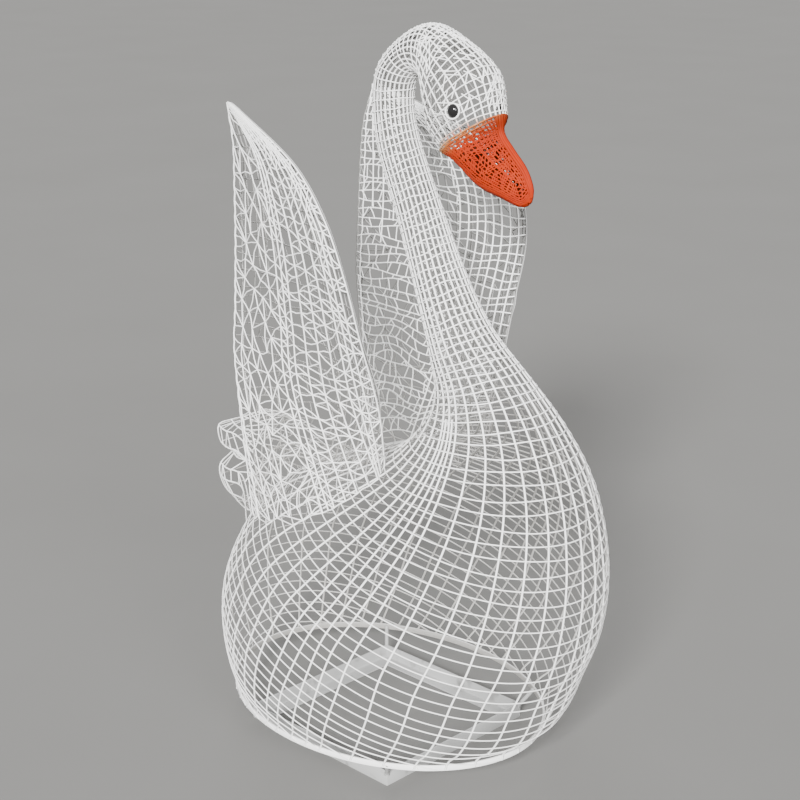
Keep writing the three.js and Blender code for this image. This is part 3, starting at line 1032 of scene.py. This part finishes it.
class Socket:
    """One output of a shader node. Sums and products of sockets add Math nodes."""

    def __init__(self, tree, output):
        self.tree = tree
        self.output = output

    def _math(self, operation, *values):
        return self.tree.add("ShaderNodeMath", {"operation": operation}, dict(enumerate(values)))

    def __add__(self, other):
        return self._math("ADD", self, other)

    def __radd__(self, other):
        return self._math("ADD", other, self)

    def __sub__(self, other):
        return self._math("SUBTRACT", self, other)

    def __rsub__(self, other):
        return self._math("SUBTRACT", other, self)

    def __mul__(self, other):
        return self._math("MULTIPLY", self, other)

    def __rmul__(self, other):
        return self._math("MULTIPLY", other, self)

    def size(self):
        return self._math("ABSOLUTE", self)

    def clamped(self):
        return self.tree.add("ShaderNodeClamp", {}, {"Value": self})


class Finish:
    """A material and the nodes that make it."""

    def __init__(self, name):
        self.material = bpy.data.materials.new(name)
        self.material.use_nodes = True
        self.nodes = self.material.node_tree.nodes
        self.links = self.material.node_tree.links
        self.shader = next(n for n in self.nodes if n.type == "BSDF_PRINCIPLED")
        self.place = self.add("ShaderNodeTexCoord", {}, {}, "Object")

    def add(self, kind, settings, inputs, output=0):
        node = self.nodes.new(kind)
        for key, value in settings.items():
            if key == "stops":
                ramp = node.color_ramp.elements
                while len(ramp) < len(value):
                    ramp.new(1.0)
                for stop, (position, colour) in zip(ramp, value):
                    stop.position = position
                    stop.color = (*colour, 1)
            else:
                setattr(node, key, value)
        for key, value in inputs.items():
            self.feed(node.inputs[key], value)
        return Socket(self, node.outputs[output])

    def feed(self, target, value):
        if isinstance(value, Socket):
            self.links.new(value.output, target)
        else:
            target.default_value = value

    def noise(self, scale, detail=3.0, roughness=0.55):
        return self.add(
            "ShaderNodeTexNoise", {},
            {"Vector": self.place, "Scale": scale, "Detail": detail, "Roughness": roughness},
            "Fac",
        )

    def inside(self):
        """1 on the side of a wire that faces into its net, which the paints darken as painted shade."""
        return self.add("ShaderNodeAttribute", {"attribute_name": "inside"}, {}, "Fac")

    def split(self, vector):
        first = self.add("ShaderNodeSeparateXYZ", {}, {0: vector})
        return [Socket(self, output) for output in first.output.node.outputs]

    def ramp(self, value, stops):
        return self.add("ShaderNodeValToRGB", {"stops": stops}, {"Fac": value}, "Color")

    def mix(self, mask, first, second):
        return self.add(
            "ShaderNodeMix", {"data_type": "RGBA"},
            {"Factor": mask, 6: first, 7: second}, 2,
        )

    def surface(self, **inputs):
        for key, value in inputs.items():
            self.feed(self.shader.inputs[key.replace("_", " ")], value)

    def bump(self, height, distance, strength=1.0):
        relief = self.add(
            "ShaderNodeBump", {}, {"Height": height, "Distance": distance, "Strength": strength}, "Normal",
        )
        self.surface(Normal=relief)


def rgba(r, g, b):
    return (r, g, b, 1)


def mask_stops(low, high):
    """Stops of a mask that rises from 0 at low to 1 at high."""
    return [(low, (0, 0, 0)), (high, (1, 1, 1))]


ORANGE_COLOUR = (0.33, 0.028, 0.003)
DEEP_ORANGE = (0.23, 0.011, 0.003)
# The spray reaches only wires above and in front of this point of the throat, and starts at the face, which runs
# between these two points.
SPRAY_CORNER = (125, 0, 1110)
FACE_TOP = (277, 0, 1237)
FACE_BOTTOM = (160, 0, 1161)
# From the thin edge of the orange, where it is beige, to its full cover.
PAINT_FADE = [(0.0, (0.70, 0.65, 0.50)), (0.4, (0.42, 0.21, 0.07)), (1.0, ORANGE_COLOUR)]


def ahead_of_face(finish):
    """How far a place lies in front of the plane where the beak meets the face, in metres."""
    place = finish.split(finish.place)
    top, bottom = row_point(*FACE_TOP), row_point(*FACE_BOTTOM)
    slope = (top - bottom).normalized()
    ahead = (place[0] - bottom.x) * slope.z - (place[2] - bottom.z) * slope.x
    return ahead, place


def white_paint(name, face=False):
    """White gloss paint on wire, a little dusty. With face, the beak's orange is sprayed over the nearest wires."""
    finish = Finish(name)
    cloud = finish.noise(9.0)
    speck = finish.noise(160.0, 2.0)
    base = finish.mix(cloud, rgba(0.93, 0.93, 0.915), rgba(0.86, 0.855, 0.835))
    dirt = finish.ramp(speck, mask_stops(0.70, 0.80))
    colour = finish.mix(dirt, base, rgba(0.60, 0.56, 0.50))
    # Painted shade: the faces of the wires that turn into the net are darkened, and more so higher up, in the narrow
    # neck, head and wings.
    narrow = ((finish.split(finish.place)[2] - 0.55) * 4.0).clamped()
    shade = finish.mix(narrow, rgba(0.33, 0.32, 0.30), rgba(0.15, 0.147, 0.138))
    colour = finish.mix(finish.inside(), colour, shade)
    if face:
        ahead, place = ahead_of_face(finish)
        corner = row_point(*SPRAY_CORNER)
        on_head = ((place[0] - corner.x) * 60.0).clamped() * ((place[2] - corner.z) * 60.0).clamped()
        spray = ((ahead + 0.25 * place[1].size() + 0.004) * 70.0).clamped() * on_head
        colour = finish.mix(spray, colour, finish.ramp(spray, PAINT_FADE))
    finish.surface(Base_Color=colour, Roughness=0.3 + cloud * 0.2, Metallic=0.0)
    finish.bump(finish.noise(420.0, 2.0), 0.0004, 0.5)
    return finish.material


def orange_paint():
    """Orange gloss paint that thins out to beige next to the face, most of all low down."""
    finish = Finish("orange beak paint")
    cloud = finish.noise(30.0)
    ahead, place = ahead_of_face(finish)
    low = ((row_point(*FACE_TOP).z - place[2]) * 9.0).clamped()
    cover = (ahead * 45.0 + 0.6 - 0.75 * low + (cloud - 0.5) * 0.8).clamped()
    orange = finish.mix(cloud, rgba(*ORANGE_COLOUR), rgba(*DEEP_ORANGE))
    colour = finish.mix(cover, finish.ramp(cover, PAINT_FADE), orange)
    # Painted shade: the faces of the wires that turn into the beak are darkened.
    colour = finish.mix(finish.inside(), colour, rgba(0.09, 0.012, 0.003))
    finish.surface(Base_Color=colour, Roughness=0.5 + cloud * 0.15, Specular_IOR_Level=0.08)
    finish.bump(finish.noise(420.0, 2.0), 0.0004, 0.5)
    return finish.material


def black_gloss():
    """The eyes' black gloss paint."""
    finish = Finish("black gloss")
    cloud = finish.noise(60.0)
    finish.surface(
        Base_Color=finish.mix(cloud, rgba(0.006, 0.006, 0.007), rgba(0.014, 0.013, 0.012)),
        Roughness=0.08 + cloud * 0.06,
    )
    return finish.material


def worn_steel():
    """The steel angle: white paint worn to an uneven grey, with a few darker spots."""
    finish = Finish("worn steel")
    cloud = finish.noise(5.0, 2.0)
    fleck = finish.ramp(finish.noise(26.0, 2.0), mask_stops(0.56, 0.78))
    worn = finish.mix(cloud, rgba(0.46, 0.46, 0.45), rgba(0.21, 0.21, 0.205))
    finish.surface(Base_Color=finish.mix(fleck, worn, rgba(0.12, 0.117, 0.112)), Roughness=0.4 + cloud * 0.2)
    finish.bump(finish.noise(260.0, 3.0), 0.0004, 0.4)
    return finish.material


def floor_finish():
    finish = Finish("pale floor")
    cloud = finish.noise(1.5)
    finish.surface(
        Base_Color=finish.mix(cloud, rgba(0.162, 0.160, 0.153), rgba(0.149, 0.147, 0.141)),
        Roughness=0.8,
        Specular_IOR_Level=0.0,
    )
    return finish.material


# Making and placing.

def dress(piece, finish, slot, *nodes):
    piece.data.materials.clear()
    piece.data.materials.append(finish)
    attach(piece, "root")
    if nodes:
        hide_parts(*nodes)


WHITE = white_paint("white wire paint")
FACE_WHITE = white_paint("white wire paint with an orange face", face=True)
ORANGE = orange_paint()
BLACK = black_gloss()
STEEL = worn_steel()

dress(body_net(), FACE_WHITE, "white_wire", "body")
dress(wing_net("right_wing_net", -1, 5), WHITE, "white_wire", "right_wing")
dress(wing_net("left_wing_net", 1, 9), WHITE, "white_wire", "left_wing")
dress(tail_net(), WHITE, "white_wire", "tail")
dress(beak_net(), ORANGE, "orange_paint", "beak")
for node in ("right_eye", "left_eye"):
    dress(eye(node), BLACK, "black_gloss", node)
    dress(eye_socket(node), WHITE, "white_wire")
dress(base_ring(), WHITE, "base_paint", "base_ring")
dress(angle_base(), STEEL, "base_paint", "base_frame")

# Floor, light and camera.

def add_floor():
    deselect_all()
    bpy.ops.mesh.primitive_plane_add(size=60)
    floor = bpy.context.view_layer.objects.active
    floor.name = "floor"
    floor.data.materials.append(floor_finish())


def add_sun(name, azimuth, elevation, strength, spread):
    """A soft far light, from an azimuth and a height in degrees."""
    data = bpy.data.lights.new(name, "SUN")
    data.energy = strength
    data.angle = math.radians(spread)
    lamp = bpy.data.objects.new(name, data)
    turn, rise = math.radians(azimuth), math.radians(elevation)
    toward = Vector((math.cos(rise) * math.cos(turn), math.cos(rise) * math.sin(turn), math.sin(rise)))
    lamp.rotation_euler = toward.to_track_quat("Z", "Y").to_euler()
    bpy.context.scene.collection.objects.link(lamp)


# The camera's place in the swan's frame, in millimetres, and the directions of its look and of its top.
CAMERA_PLACE = (2169.07, -2169.07, 1654.27)
CAMERA_LOOK = (-0.667510, 0.679040, -0.305509)
CAMERA_UP = (-0.214170, 0.217869, 0.952189)
CAMERA_LENS = 76.5


def add_camera():
    data = bpy.data.cameras.new("camera")
    data.lens = CAMERA_LENS
    data.sensor_width = 36
    camera = bpy.data.objects.new("camera", data)
    camera.location = row_point(*CAMERA_PLACE)
    look, up = Vector(CAMERA_LOOK), Vector(CAMERA_UP)
    right = look.cross(up)
    camera.rotation_euler = Matrix((right, up, -look)).transposed().to_euler()
    bpy.context.scene.collection.objects.link(camera)
    bpy.context.scene.camera = camera


def add_sky():
    world = bpy.data.worlds.new("studio")
    world.use_nodes = True
    backdrop = world.node_tree.nodes["Background"]
    backdrop.inputs["Color"].default_value = rgba(0.95, 0.96, 1.0)
    backdrop.inputs["Strength"].default_value = 0.55
    bpy.context.scene.world = world


add_floor()
add_sky()
add_sun("key", -60, 27, 10.0, 12)
add_sun("fill", -22, 22, 3.0, 30)
add_sun("back", 150, 32, 2.0, 40)
add_camera()
